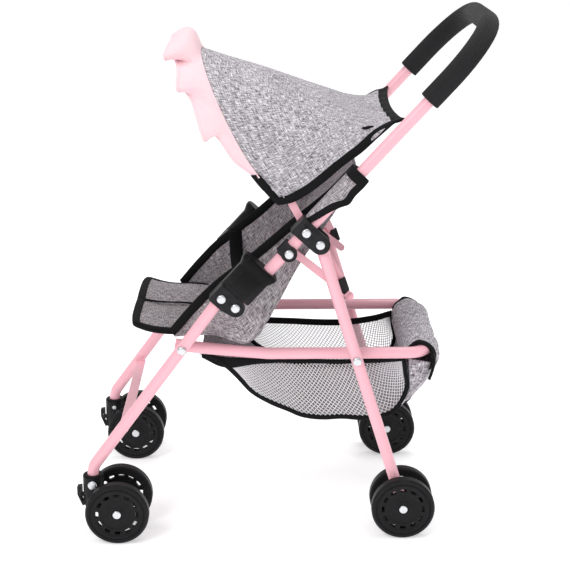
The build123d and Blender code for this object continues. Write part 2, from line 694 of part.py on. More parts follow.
# ---- basket ------------------------------------------------------------------------------
bag_x = 80.0
rim_z = bar_z - tube_r - 0.6
with BuildPart() as basket_bag:
    with BuildSketch(side.offset(-bag_x)):
        with BuildLine():
            Polyline((-66.0, rim_z), (-46.0, 172.0), (-30.0, 157.0), (-5.5, 135.5), (43.4, 117.7),
                     (92.4, 116.2), (124.9, 128.9), (137.0, 157.0), (134.5, rim_z), close=True)
        make_face()
    extrude(amount=2 * bag_x)
    with BuildSketch(side.offset(-bag_x + 2)):
        with BuildLine():
            Polyline((-62.0, rim_z + 5), (-43.9, 173.4), (-28.4, 158.8), (-4.5, 137.6),
                     (43.8, 119.9), (91.9, 118.4), (123.3, 130.5), (134.9, 157.3),
                     (132.5, rim_z + 5), close=True)
        make_face()
    extrude(amount=2 * bag_x - 4, mode=Mode.SUBTRACT)

# fabric wrapped over the rear crossbar, hanging behind the bag
with BuildPart() as basket_wrap:
    with BuildSketch(side.offset(-bar_x + 22)):
        with BuildLine():
            Polyline((139.0, 150.0), (138.4, 186.0), (143.0, 203.0), (154.0, 208.6),
                     (166.0, 207.0), (173.4, 198.0), (173.4, 184.0), (165.0, 162.0),
                     (150.6, 140.0), (140.6, 134.0), close=True)
        make_face()
        with Locations((bar_rear_y, bar_z)):
            Circle(tube_r + 0.3, mode=Mode.SUBTRACT)
    extrude(amount=2 * (bar_x - 22))

with BuildPart() as strap_tab:
    with BuildSketch(side.offset(bar_x - 21)):
        with BuildLine():
            Polyline((164.6, 186.0), (167.6, 186.0), (161.6, 168.0), (158.6, 168.0), close=True)
        make_face()
    extrude(amount=13)

# ---- labels and files ----------------------------------------------------------------------
finished = {
    "front_leg_left": front_leg_left,
    "front_leg_right": front_leg_right,
    "front_brace": front_brace,
    "lower_bracket_left": lower_bracket_left,
    "lower_bracket_right": lower_bracket_right,
    "handle_tube": handle_tube,
    "handle_grip": handle_grip,
    "lock_sleeve_left": lock_sleeve_left,
    "lock_sleeve_right": lock_sleeve_right,
    "link_clamp_left": link_clamp_left,
    "link_clamp_right": link_clamp_right,
    "upper_bracket_left": upper_bracket_left,
    "upper_bracket_right": upper_bracket_right,
    "rear_leg_left": rear_leg_left,
    "rear_leg_right": rear_leg_right,
    "guide_bar_left": guide_bar_left,
    "guide_bar_right": guide_bar_right,
    "guide_stop_left": guide_stop_left,
    "guide_stop_right": guide_stop_right,
    "link_bar_left": link_bar_left,
    "link_bar_right": link_bar_right,
    "basket_bar": basket_bar,
    "bar_hook_left": bar_hook_left,
    "bar_hook_right": bar_hook_right,
    "leg_rivets": leg_rivets,
    "basket_pins": basket_pins,
    "handle_rivets": handle_rivets,
    "rear_pins": rear_pins,
    "wheel_socket_left": wheel_socket_left,
    "wheel_socket_right": wheel_socket_right,
    "socket_rivets": socket_rivets,
    "wheel_fork_left": wheel_fork_left,
    "wheel_fork_right": wheel_fork_right,
    "fork_clip_left": fork_clip_left,
    "fork_clip_right": fork_clip_right,
    "front_axle_left": front_axle_left,
    "front_axle_right": front_axle_right,
    "rear_axle_left": rear_axle_left,
    "rear_axle_right": rear_axle_right,
    "canopy_bow": canopy_bow,
    "canopy_hood": canopy_hood,
    "canopy_frill": canopy_frill,
    "seat_sling": seat_sling,
    "seat_panel_left": seat_panel_left,
    "seat_panel_right": seat_panel_right,
    "leg_rest": leg_rest,
    "seat_loops": seat_loops,
    "harness": harness,
    "harness_buckle": harness_buckle,
    "basket_bag": basket_bag,
    "basket_wrap": basket_wrap,
    "strap_tab": strap_tab,
    **wheels,
}
for label, piece in finished.items():
    piece.part.label = label
    export_step(piece.part, f"parts/{label}.step")
print(len(finished), "pieces")
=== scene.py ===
import json
from math import cos, pi, radians, sin

import bmesh
import bpy
import numpy as np
from mathutils import Matrix, Vector


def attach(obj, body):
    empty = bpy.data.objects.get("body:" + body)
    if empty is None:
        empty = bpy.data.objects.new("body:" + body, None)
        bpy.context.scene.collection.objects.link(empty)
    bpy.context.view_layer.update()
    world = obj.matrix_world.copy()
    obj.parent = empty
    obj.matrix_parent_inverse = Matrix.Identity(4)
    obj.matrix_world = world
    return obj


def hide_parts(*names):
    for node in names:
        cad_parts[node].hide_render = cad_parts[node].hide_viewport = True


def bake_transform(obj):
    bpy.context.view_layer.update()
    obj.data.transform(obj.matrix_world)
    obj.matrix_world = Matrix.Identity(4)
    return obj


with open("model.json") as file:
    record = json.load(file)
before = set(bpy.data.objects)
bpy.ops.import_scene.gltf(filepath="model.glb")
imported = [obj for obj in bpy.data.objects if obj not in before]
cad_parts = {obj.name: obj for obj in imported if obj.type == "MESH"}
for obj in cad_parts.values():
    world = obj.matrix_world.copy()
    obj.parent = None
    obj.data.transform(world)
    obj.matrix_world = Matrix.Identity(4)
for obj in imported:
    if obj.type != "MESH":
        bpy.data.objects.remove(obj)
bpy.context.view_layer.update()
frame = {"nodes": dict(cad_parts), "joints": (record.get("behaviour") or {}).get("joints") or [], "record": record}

# Doll stroller: soft goods, grip, finishes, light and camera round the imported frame.
# Row frame in metres: +Z up, -Y the way it travels, +X the pusher's left.
# Side profiles below are in millimetres in the part's side plane: y back from the side
# plane's origin and z up from the ground, placed by the handle pivot of the frame.

MM = 0.001
FOLD_Y, FOLD_Z = -46.0, 257.5          # handle pivot in the side plane
HANDLE_ANGLE = radians(47.4)
JOINTS = {j["name"]: j for j in frame["joints"]}
FOLD = Vector(JOINTS["frame_fold"]["pos_m"])
LEG_X = 112.0                          # middle plane of the side tubes
TUBE_R = 6.25
SIDES = (("left", 1), ("right", -1))


def row(x, y, z):
    """Row-frame point in metres of a side-plane point in millimetres."""
    return (x * MM, FOLD.y + (y - FOLD_Y) * MM, FOLD.z + (z - FOLD_Z) * MM)


def rows(mm):
    """Row-frame copy of an array of points in millimetres."""
    return np.array([row(*p) for p in mm.reshape(-1, 3)]).reshape(mm.shape)


def handle_point(h, n):
    """Side-plane point at h along the handle tube and n square to it, forward and up."""
    c, s = cos(HANDLE_ANGLE), sin(HANDLE_ANGLE)
    return (FOLD_Y + h * c - n * s, FOLD_Z + h * s + n * c)


# ---- curves and surfaces ------------------------------------------------------
def spline(points, count):
    """Evenly spaced points on a smooth curve through the given ones."""
    p = np.array(points, float)
    p = np.vstack([2 * p[0] - p[1], p, 2 * p[-1] - p[-2]])
    dense = []
    for i in range(1, len(p) - 2):
        t = np.linspace(0, 1, 24, endpoint=False)[:, None]
        a, b, c, d = p[i - 1], p[i], p[i + 1], p[i + 2]
        dense.append(0.5 * (2 * b + (c - a) * t + (2 * a - 5 * b + 4 * c - d) * t**2
                            + (3 * b - a - 3 * c + d) * t**3))
    dense = np.vstack([*dense, p[-2][None]])
    return even(dense, count)


def run_along(line):
    """Length from the first point of a polyline to each of its points."""
    return np.concatenate([[0], np.cumsum(np.linalg.norm(np.diff(line, axis=0), axis=1))])


def even(line, count):
    """Points evenly spaced along a polyline."""
    run = run_along(line)
    want = np.linspace(0, run[-1], count)
    return np.stack([np.interp(want, run, line[:, k]) for k in range(line.shape[1])], 1)


def unit(v):
    """Vectors of length one."""
    return v / np.maximum(np.linalg.norm(v, axis=-1, keepdims=True), 1e-12)


def new_object(name, verts, faces, material, smooth=True):
    """Mesh object with one material."""
    mesh = bpy.data.meshes.new(name)
    mesh.from_pydata([tuple(v) for v in verts], [], faces)
    mesh.polygons.foreach_set("use_smooth", [smooth] * len(mesh.polygons))
    mesh.materials.append(material)
    obj = bpy.data.objects.new(name, mesh)
    bpy.context.scene.collection.objects.link(obj)
    return obj


def surface(name, grid, material, ring=False):
    """Quad mesh over a grid of row-frame points, with UVs that are lengths in metres.
    ring closes the second direction."""
    lines, cols = grid.shape[:2]
    verts = grid.reshape(-1, 3)
    faces, corners = [], []
    u = run_along(grid[:, cols // 2])
    v = run_along(grid[lines // 2])
    v = np.append(v, v[-1] + (v[-1] - v[-2]))
    for i in range(lines - 1):
        for j in range(cols if ring else cols - 1):
            k = (j + 1) % cols
            faces.append((i * cols + j, (i + 1) * cols + j, (i + 1) * cols + k, i * cols + k))
            corners += [(u[i], v[j]), (u[i + 1], v[j]), (u[i + 1], v[j + 1]), (u[i], v[j + 1])]
    obj = new_object(name, verts, faces, material)
    layer = obj.data.uv_layers.new(name="cloth")
    layer.data.foreach_set("uv", np.array(corners, float).ravel())
    return obj


def thicken(obj, thickness):
    """Gives a cloth sheet its thickness, both ways from its middle."""
    mod = obj.modifiers.new("cloth_thickness", "SOLIDIFY")
    mod.thickness = thickness
    mod.offset = 0.0
    return obj


def tube(name, path, radii, material, sides):
    """Closed tube along a polyline; radii is one per point, or one for all."""
    path = np.array(path, float)
    radii = np.broadcast_to(np.asarray(radii, float), (len(path),))
    tangent = unit(np.gradient(path, axis=0))
    a = unit(np.cross(tangent, np.array([0.0, 0.0, 1.0])))
    b = np.cross(a, tangent)
    angle = np.linspace(0, 2 * pi, sides, endpoint=False)
    ring = (np.cos(angle)[None, :, None] * a[:, None] * radii[:, None, None]
            + np.sin(angle)[None, :, None] * b[:, None] * radii[:, None, None])
    obj = surface(name, path[:, None] + ring, material, ring=True)
    cap_ends(obj, len(path), sides)
    return obj


def cap_ends(obj, rings, sides):
    """Fills the first and last ring of a ringed surface."""
    bm = bmesh.new()
    bm.from_mesh(obj.data)
    bm.verts.ensure_lookup_table()
    bm.faces.new([bm.verts[j] for j in range(sides)])
    bm.faces.new([bm.verts[(rings - 1) * sides + j] for j in reversed(range(sides))])
    bmesh.ops.recalc_face_normals(bm, faces=bm.faces)
    bm.to_mesh(obj.data)
    bm.free()


def tape(name, edge, inward, normal, width, thickness, material, wave=0.0):
    """Folded binding tape along an edge: an oblong section with rounded corners, lying
    from just outside the edge to width inside it."""
    edge, inward, normal = (np.array(a, float) for a in (edge, inward, normal))
    width = np.broadcast_to(np.asarray(width, float), (len(edge),))[:, None]
    t = thickness / 2
    run = run_along(edge)
    ripple = (wave * np.sin(run / 0.011) * np.sin(run / 0.019 + 1.0))[:, None]
    edge = edge + normal * ripple
    # section: distance from the edge as a share of the width, height as a share of t
    section = [(-0.10, 0.0), (-0.07, 0.7), (0.04, 1.0), (0.5, 1.12), (0.93, 1.0), (1.0, 0.55),
               (1.0, -0.55), (0.93, -1.0), (0.5, -1.12), (0.04, -1.0), (-0.07, -0.7)]
    grid = np.stack([edge + inward * width * a + normal * t * b for a, b in section], 1)
    obj = surface(name, grid, material, ring=True)
    cap_ends(obj, len(edge), len(section))
    return obj


def ribbon(name, points, face, width, thickness, material):
    """Flat strap along a smooth line; face is the direction its flat side looks."""
    line = spline(points, 40)
    tangent = unit(np.gradient(line, axis=0))
    face = unit(np.broadcast_to(np.array(face, float), line.shape))
    flatways = unit(np.cross(tangent, face))
    square = np.cross(flatways, tangent)
    half, t = width / 2, thickness / 2
    section = [(-1, 0.5), (-0.94, 1), (0, 1.15), (0.94, 1), (1, 0.5),
               (1, -0.5), (0.94, -1), (0, -1.15), (-0.94, -1), (-1, -0.5)]
    grid = np.stack([line + flatways * half * a + square * t * b for a, b in section], 1)
    obj = surface(name, grid, material, ring=True)
    cap_ends(obj, len(line), len(section))
    return obj


def join(name, parts):
    """One object from several."""
    bpy.context.view_layer.update()
    for p in bpy.context.selected_objects:
        p.select_set(False)
    for p in parts:
        p.select_set(True)
    bpy.context.view_layer.objects.active = parts[0]
    bpy.ops.object.join()
    parts[0].name = name
    parts[0].data.name = name
    parts[0].select_set(False)
    return parts[0]


def ripples(seed, *coords):
    """Smooth, repeatable unevenness from -1 to 1 over one or more coordinates."""
    rng = np.random.default_rng(seed)
    total = 0.0
    for k in range(6):
        phase = rng.uniform(0, 2 * pi)
        wave = sum(rng.uniform(-1, 1) * (1 + 0.6 * k) * c for c in coords)
        total = total + np.sin(wave * 2.6 + phase) / (1 + 0.5 * k)
    return total / 3.2


def normals_of(grid):
    """Unit normals of a grid of points."""
    return unit(np.cross(np.gradient(grid, axis=0), np.gradient(grid, axis=1)))


def upward_normals(grid):
    """Normals of a grid, on the side that looks up in its middle."""
    normals = normals_of(grid)
    upward = normals[grid.shape[0] // 2, grid.shape[1] // 2, 2] > 0
    return normals if upward else -normals


# ---- materials ------------------------------------------------------------------
class Shader:
    """A node material under construction: add() makes a node and links its inputs."""

    def __init__(self, name, **values):
        self.mat = bpy.data.materials.new(name)
        self.mat.use_nodes = True
        self.tree = self.mat.node_tree
        self.bsdf = self.tree.nodes["Principled BSDF"]
        for key, value in values.items():
            self.bsdf.inputs[key.replace("_", " ")].default_value = value

    def add(self, kind, props=None, **inputs):
        """New node; i0, i1 are its inputs by number."""
        node = self.tree.nodes.new("ShaderNode" + kind)
        for key, value in (props or {}).items():
            setattr(node, key, value)
        for key, value in inputs.items():
            self.feed(node.inputs[int(key[1:]) if key[1:].isdigit() else key], value)
        return node

    def feed(self, socket, value):
        """Links a socket, or sets its value."""
        if isinstance(value, bpy.types.NodeSocket):
            self.tree.links.new(value, socket)
        else:
            socket.default_value = value

    def math(self, op, a, b=0.5):
        """Math node."""
        return self.add("Math", {"operation": op}, i0=a, i1=b).outputs[0]

    def noise(self, vector, scale, detail=2.0, rough=0.5):
        """Cloudy value."""
        node = self.add("TexNoise", None, Vector=vector, Scale=scale, Detail=detail,
                        Roughness=rough)
        return node.outputs[0]

    def scaled(self, vector, x, y, z=1.0):
        """Vector stretched along its axes."""
        return self.add("Mapping", None, Vector=vector, Scale=(x, y, z)).outputs[0]

    def bands(self, vector, period, direction):
        """Waves, period metres apart."""
        node = self.add("TexWave", {"wave_type": "BANDS", "bands_direction": direction},
                        Vector=vector, Scale=0.314 / period, Distortion=0.0)
        return node.outputs["Fac"]

    def ramp(self, value, stops):
        """Colour ramp over a value."""
        node = self.add("ValToRGB", None, Fac=value)
        spots = node.color_ramp.elements
        while len(spots) < len(stops):
            spots.new(0.5)
        for spot, (place, colour) in zip(spots, stops):
            spot.position = place
            spot.color = (*colour, 1)
        return node.outputs[0]

    def mix(self, share, a, b):
        """Colour between a and b."""
        node = self.add("Mix", {"data_type": "RGBA"})
        self.feed(node.inputs[0], share)
        self.feed(node.inputs[6], a)
        self.feed(node.inputs[7], b)
        return node.outputs[2]

    def colour(self, value):
        """Base colour from a node."""
        self.feed(self.bsdf.inputs["Base Color"], value)

    def rough(self, value, low, high):
        """Roughness that follows a value."""
        node = self.add("MapRange", None, Value=value)
        node.inputs["To Min"].default_value = low
        node.inputs["To Max"].default_value = high
        self.feed(self.bsdf.inputs["Roughness"], node.outputs[0])

    def bump(self, height, distance, strength=1.0):
        """Fine relief from a height value."""
        node = self.add("Bump", None, Height=height, Distance=distance, Strength=strength)
        self.feed(self.bsdf.inputs["Normal"], node.outputs[0])

    def cloth_uv(self):
        """Lengths along the cloth in metres."""
        return self.add("UVMap", {"uv_map": "cloth"}).outputs[0]

    def place(self, output="Object"):
        """Coordinates fixed to the object."""
        return self.add("TexCoord").outputs[output]


def heather_fabric(name, base, dark, light):
    """Linen-look woven polyester: crossing slubs of lighter and darker yarn."""
    s = Shader(name, Sheen_Weight=0.08, Sheen_Roughness=0.5, Specular_IOR_Level=0.15)
    uv = s.cloth_uv()
    warp = s.noise(s.scaled(uv, 140, 1150), 1.0, 1.0, 0.6)
    weft = s.noise(s.scaled(uv, 1150, 140), 1.0, 1.0, 0.6)
    flecks = s.math("ADD", s.math("MULTIPLY", warp, 0.5), s.math("MULTIPLY", weft, 0.5))
    tone = s.noise(uv, 28.0, 3.0)
    mixed = s.math("ADD", flecks, s.math("MULTIPLY", s.math("SUBTRACT", tone, 0.5), 0.09))
    s.colour(s.ramp(mixed, [(0.39, dark), (0.48, base), (0.52, base), (0.61, light)]))
    threads = s.math("ADD", s.bands(uv, 0.0009, "X"), s.bands(uv, 0.0009, "Y"))
    s.bump(s.math("ADD", threads, s.math("MULTIPLY", flecks, 3.0)), 0.00022, 0.8)
    s.rough(tone, 0.88, 1.0)
    return s.mat


def plain_fabric(name, colour, shade):
    """Thin plain-weave cloth."""
    s = Shader(name, Sheen_Weight=0.15, Sheen_Roughness=0.4, Specular_IOR_Level=0.25,
               Subsurface_Weight=0.12, Subsurface_Scale=0.004)
    uv = s.cloth_uv()
    tone = s.noise(uv, 60.0, 4.0, 0.6)
    s.colour(s.mix(tone, (*shade, 1), (*colour, 1)))
    threads = s.math("MULTIPLY", s.bands(uv, 0.0007, "X"), s.bands(uv, 0.0007, "Y"))
    s.bump(threads, 0.0001, 0.6)
    s.rough(tone, 0.7, 0.86)
    return s.mat


def webbing(name, colour, paler_tone, rib=0.0013):
    """Black woven tape with cross ribs."""
    s = Shader(name, Sheen_Weight=0.02, Sheen_Roughness=0.5, Specular_IOR_Level=0.12)
    uv = s.cloth_uv()
    ribs = s.bands(uv, rib, "X")
    fuzz = s.noise(uv, 900.0, 3.0)
    s.colour(s.mix(s.math("MULTIPLY", fuzz, ribs), (*colour, 1), (*paler_tone, 1)))
    s.bump(s.math("ADD", ribs, s.math("MULTIPLY", fuzz, 0.8)), 0.00025, 0.9)
    s.rough(fuzz, 0.62, 0.85)
    return s.mat


def net_yarn(name, colour, shade):
    """Dull white yarn."""
    s = Shader(name, Sheen_Weight=0.2, Specular_IOR_Level=0.3)
    tone = s.noise(s.place(), 700.0, 2.0)
    s.colour(s.mix(tone, (*shade, 1), (*colour, 1)))
    s.bump(tone, 0.0002, 0.6)
    s.rough(tone, 0.7, 0.9)
    return s.mat


def painted_tube(name, colour, shade):
    """Satin powder coat with faint orange peel."""
    s = Shader(name, Coat_Weight=0.35, Coat_Roughness=0.18, Specular_IOR_Level=0.45)
    tone = s.noise(s.place(), 35.0, 3.0)
    s.colour(s.mix(tone, (*shade, 1), (*colour, 1)))
    s.bump(s.noise(s.place(), 620.0, 2.0), 0.00012, 0.35)
    s.rough(s.noise(s.place(), 140.0, 3.0), 0.26, 0.4)
    return s.mat


def moulded_plastic(name, colour, edge, low=0.3, high=0.48, grain=1100.0):
    """Black moulded plastic with a fine grain, and a painted highlight that makes its sharp edges paler in cloudy
    patches.
    """
    s = Shader(name, Specular_IOR_Level=0.10)
    # painted highlight: the paler colour goes on sharp convex edges, in cloudy patches
    point = s.add("NewGeometry").outputs["Pointiness"]
    paler_tone = s.ramp(point, [(0.52, (0, 0, 0)), (0.6, (1, 1, 1))])
    cloud = s.noise(s.place(), 160.0, 3.0)
    s.colour(s.mix(s.math("MULTIPLY", paler_tone, s.math("MULTIPLY", cloud, 1.3)),
                   (*colour, 1), (*edge, 1)))
    s.bump(s.noise(s.place(), grain, 2.0), 0.00008, 0.5)
    s.rough(cloud, low, high)
    return s.mat


def wheel_plastic(name, colour, edge):
    """Wheel moulding: fine grain, with faint spokes fanned round the middle of its face."""
    s = Shader(name, Specular_IOR_Level=0.13)
    place = s.add("SeparateXYZ", None, Vector=s.place("Generated"))
    y = s.math("SUBTRACT", place.outputs[1], 0.5)
    z = s.math("SUBTRACT", place.outputs[2], 0.5)
    turn = s.math("ARCTAN2", z, y)
    radius = s.math("SQRT", s.math("ADD", s.math("MULTIPLY", y, y), s.math("MULTIPLY", z, z)))
    spokes = s.math("SINE", s.math("MULTIPLY", turn, 40.0))
    inside = s.ramp(radius, [(0.10, (0, 0, 0)), (0.12, (1, 1, 1)), (0.24, (1, 1, 1)),
                             (0.27, (0, 0, 0))])
    fan = s.math("MULTIPLY", spokes, inside)
    grain = s.noise(s.place(), 900.0, 2.0)
    s.bump(s.math("ADD", s.math("MULTIPLY", fan, 0.8), s.math("MULTIPLY", grain, 0.7)),
           0.00012, 0.7)
    cloud = s.noise(s.place(), 120.0, 3.0)
    s.colour(s.mix(cloud, (*colour, 1), (*edge, 1)))
    s.rough(cloud, 0.34, 0.5)
    return s.mat


def foam(name, colour, paler_tone):
    """Ribbed foam rubber."""
    s = Shader(name, Sheen_Weight=0.16, Sheen_Roughness=0.3, Specular_IOR_Level=0.3)
    uv = s.cloth_uv()
    cells = s.noise(uv, 1500.0, 3.0)
    s.colour(s.mix(cells, (*colour, 1), (*paler_tone, 1)))
    rings = s.bands(uv, 0.0016, "X")
    s.bump(s.math("ADD", rings, s.math("MULTIPLY", cells, 0.7)), 0.0002, 0.7)
    s.rough(cells, 0.55, 0.8)
    return s.mat


def bright_steel(name):
    """Lightly scuffed bright metal."""
    s = Shader(name, Metallic=1.0)
    cloud = s.noise(s.place(), 260.0, 3.0)
    s.colour(s.mix(cloud, (0.58, 0.59, 0.61, 1), (0.78, 0.79, 0.81, 1)))
    s.bump(s.noise(s.place(), 1600.0, 2.0), 0.00005, 0.4)
    s.rough(cloud, 0.2, 0.38)
    return s.mat


GREY = heather_fabric("heather_grey", (0.47, 0.44, 0.475), (0.13, 0.105, 0.13),
                      (0.92, 0.90, 0.93))
# darker copy of the heather grey: painted shade on the seat, ears, leg rest and basket base
SHADED_GREY = heather_fabric("heather_grey_shaded", (0.38, 0.345, 0.365), (0.10, 0.078, 0.094),
                            (0.72, 0.68, 0.70))
PALE_PINK = plain_fabric("pale_pink_cloth", (0.96, 0.70, 0.74), (0.93, 0.62, 0.67))
BLACK_TAPE = webbing("black_binding", (0.004, 0.004, 0.0045), (0.016, 0.016, 0.0175))
STRAP = webbing("black_strap", (0.004, 0.004, 0.0045), (0.014, 0.014, 0.015), rib=0.002)
NET = net_yarn("white_net", (0.93, 0.92, 0.94), (0.78, 0.77, 0.80))
PINK = painted_tube("pink_paint", (0.94, 0.50, 0.575), (0.92, 0.46, 0.535))
# second colour: the painted highlight along the plastic's sharp edges
PLASTIC = moulded_plastic("black_plastic", (0.005, 0.005, 0.0055), (0.03, 0.03, 0.032))
WHEEL = wheel_plastic("wheel_black", (0.007, 0.007, 0.008), (0.015, 0.015, 0.016))
FOAM = foam("foam_rubber", (0.006, 0.0055, 0.0065), (0.018, 0.017, 0.019))
STEEL = bright_steel("bright_steel")

SLOT_FINISH = {"pink_paint": PINK, "black_plastic": PLASTIC, "wheel_plastic": WHEEL,
               "foam_grip": FOAM, "bright_steel": STEEL, "grey_fabric": GREY,
               "pink_fabric": PALE_PINK, "black_webbing": BLACK_TAPE, "mesh_fabric": NET}


def finish_hard_parts():
    """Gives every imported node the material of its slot."""
    for part in frame["record"]["subparts"]:
        node = frame["nodes"][part["node"]]
        node.data.materials.clear()
        node.data.materials.append(SLOT_FINISH[part["material_slot"]])


# ---- canopy ----------------------------------------------------------------------
HOOD_HALF = 105.0                      # half its width
HOOD_DEPTH = 190.0                     # rough length of its cloth, for the creases
# lower edge and crown of the canopy in the side plane, front to rear
HOOD_LOW = [(-1.5, 363.5), (13, 366.5), (30, 376), (48, 390), (66, 405), (84, 418.5),
            (101, 434.5), (114, 445), (126, 451.5)]
HOOD_CROWN = [(-82.5, 509), (-58, 501), (-30, 492.5), (0, 482.5), (30, 471.5), (58, 461),
              (84, 451.5), (104, 447.0), (120, 446.5)]
RIBS, AROUND = 64, 121
TAPE_W, TAPE_T = 0.0085, 0.0026
FRONT_TAPE = 0.036                     # taped part of the front edge, up to the frill


def hood_rib(low, crown, half, bulge, round_x, round_z):
    """Evenly spaced points of one rib, from the left lower edge over to the right."""
    low, crown = np.array(low), np.array(crown)
    rise = np.linalg.norm(crown - low)
    up = (crown - low) / rise
    ahead = np.array([-up[1], up[0]])
    upright = max(0.0, rise - half) * 0.9
    angle = np.linspace(0, pi, 160)
    x = half * np.sign(np.cos(angle)) * np.abs(np.cos(angle)) ** round_x
    height = upright + (rise - upright) * np.sin(angle) ** round_z
    x = np.concatenate([[half], x, [-half]])
    height = np.concatenate([[0.0], height, [0.0]])
    out = bulge * np.sin(np.clip(height / rise, 0, 1) * pi) ** 0.8
    flat = np.stack([x, low[0] + up[0] * height + ahead[0] * out,
                     low[1] + up[1] * height + ahead[1] * out], 1)
    return even(flat, AROUND)


def hood_creases():
    """How far the cloth stands off its ribs: soft waves over the middle, folds fanned from
    the lower front corners and small gathers by the rear tape."""
    back = np.linspace(0, 1, RIBS)[:, None]
    across = np.linspace(-1, 1, AROUND)[None, :]
    loose = np.sin(back * pi) * (1 - 0.25 * np.abs(across))
    waves = 1.5 * loose * ripples(4, back * 1.4, across * 2.6)
    to_edge = (1 - np.abs(across)) * HOOD_DEPTH
    from_corner = np.hypot(back * HOOD_DEPTH, to_edge)
    fan = np.arctan2(to_edge, back * HOOD_DEPTH + 1)
    folds = (2.0 * np.sin(fan * 17 + 0.8 * np.sin(from_corner / 24))
             * np.exp(-from_corner / 62) * np.clip(from_corner / 22, 0, 1))
    gathers = (1.3 * np.sin(across * 23 + back * 6) * np.exp(-((back - 0.93) / 0.07) ** 2)
               * np.clip((1 - back) / 0.05, 0, 1))
    return waves + folds + gathers


def hood_surface():
    """Grid of the canopy cloth, ribs from front to rear, and its outward normals."""
    lows, crowns = spline(HOOD_LOW, RIBS), spline(HOOD_CROWN, RIBS)
    ribs = []
    for i in range(RIBS):
        rear = (i / RIBS) ** 3                     # the rear is more pointed than the front
        ribs.append(hood_rib(lows[i], crowns[i], HOOD_HALF, 5.0 * (1 - i / RIBS) ** 2,
                             0.9 + 0.25 * rear, 0.92 + 0.45 * rear))
    hood_mm = np.stack(ribs)
    hood = rows(hood_mm + upward_normals(hood_mm) * hood_creases()[..., None])
    return hood, upward_normals(hood)


def on_canopy(obj):
    """Bakes a piece's placement into its mesh."""
    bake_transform(obj)
    return obj


def bind_canopy(hood, hood_normal, front_run):
    """Black tape along both lower edges, the bare ends of the front edge and the rear."""
    bare = int(np.searchsorted(front_run, FRONT_TAPE))
    tapes = []
    for side_name, k, nxt in (("left", 0, 3), ("right", -1, -4)):
        edge = hood[:, k]
        tapes.append(tape(f"canopy_hem_{side_name}", edge, unit(hood[:, nxt] - edge),
                          hood_normal[:, k], TAPE_W, TAPE_T, BLACK_TAPE, wave=0.0006))
        if k == 0:
            sel = np.arange(0, bare + 1)
            t = np.linspace(0, 1, bare + 1)[:, None]
        else:
            sel = np.arange(AROUND - bare - 1, AROUND)
            t = np.linspace(1, 0, bare + 1)[:, None]
        inward = unit(hood[3, sel] - hood[0, sel])
        tapes.append(tape(f"canopy_front_{side_name}", hood[0, sel] - inward * 0.0062 * t**0.7,
                          inward, hood_normal[0, sel], TAPE_W, TAPE_T * 1.05, BLACK_TAPE))
    tapes.append(tape("canopy_rear", hood[-1], unit(hood[-3] - hood[-1]), hood_normal[-1],
                      0.0098, TAPE_T, BLACK_TAPE))
    binding = join("canopy_binding", tapes)
    on_canopy(binding)
    return binding


SLIT_SPOT, SLIT_HALF = (104, 88.0, 458.0), 0.0080
SLIT_RADII = [0.0004, 0.0011, 0.0015, 0.0017, 0.0018, 0.0017, 0.0015, 0.0011, 0.0004]


def canopy_slit_rims(hood, hood_normal):
    """Buttonhole with a stitched rim near the rear of each side."""
    rims = []
    for sign in (1, -1):
        want = np.array(row(sign * SLIT_SPOT[0], *SLIT_SPOT[1:]))
        i, j = np.unravel_index(np.argmin(np.linalg.norm(hood - want, axis=2)), hood.shape[:2])
        along = unit(hood[i + 3, j] - hood[i - 3, j])
        along = unit(along - np.array([0, 0, 0.28]))
        path = [hood[i, j] + hood_normal[i, j] * 0.0009 + along * d * SLIT_HALF
                for d in np.linspace(-1, 1, len(SLIT_RADII))]
        rims.append(tube(f"slit_{sign}", path, SLIT_RADII, STRAP, sides=10))
    slits = join("canopy_slits", rims)
    on_canopy(slits)
    return slits


# ---- frill -------------------------------------------------------------------------
FRILL_COLS, FRILL_ROWS = 561, 26
FRILL_REACH = 0.032                    # how far it stands out from its seam
FRILL_ENDS = 0.034                     # canopy front edge without a frill, at each end
CURL_HEIGHT, CURL_HALF = 0.0185, 0.040             # the curl over the crown
# flutes in metres: how far from the crown along the seam, half the fold's length, then how
# far the cloth is carried down past it, lifted off and pushed forward
FLUTES = [(0.050, 0.0105, 0.0190, 0.0050, 0.0100), (0.092, 0.0090, 0.0125, 0.0115, 0.0100),
          (0.140, 0.0100, 0.0190, 0.0120, 0.0110)]


def flute_moves(from_crown):
    """How far each place along the frill is carried along the seam, lifted and pushed."""
    carry, lift, push = 0 * from_crown, 0 * from_crown, 0 * from_crown
    for spot, half_fold, down_by, lift_by, push_by in FLUTES:
        for sign in (1, -1):
            u = (from_crown * sign - spot) / half_fold
            carry = carry - sign * down_by * u * np.exp(0.5 - u**2 / 2)
            lift = lift + lift_by * (np.exp(-((u + 0.9) ** 2) / 2)
                                     - 0.55 * np.exp(-((u - 1) ** 2) / 2))
            push = push + push_by * (np.exp(-((u + 0.8) ** 2) / 1.6)
                                     - 0.6 * np.exp(-((u - 1.3) ** 2) / 1.6))
    return carry, lift, push


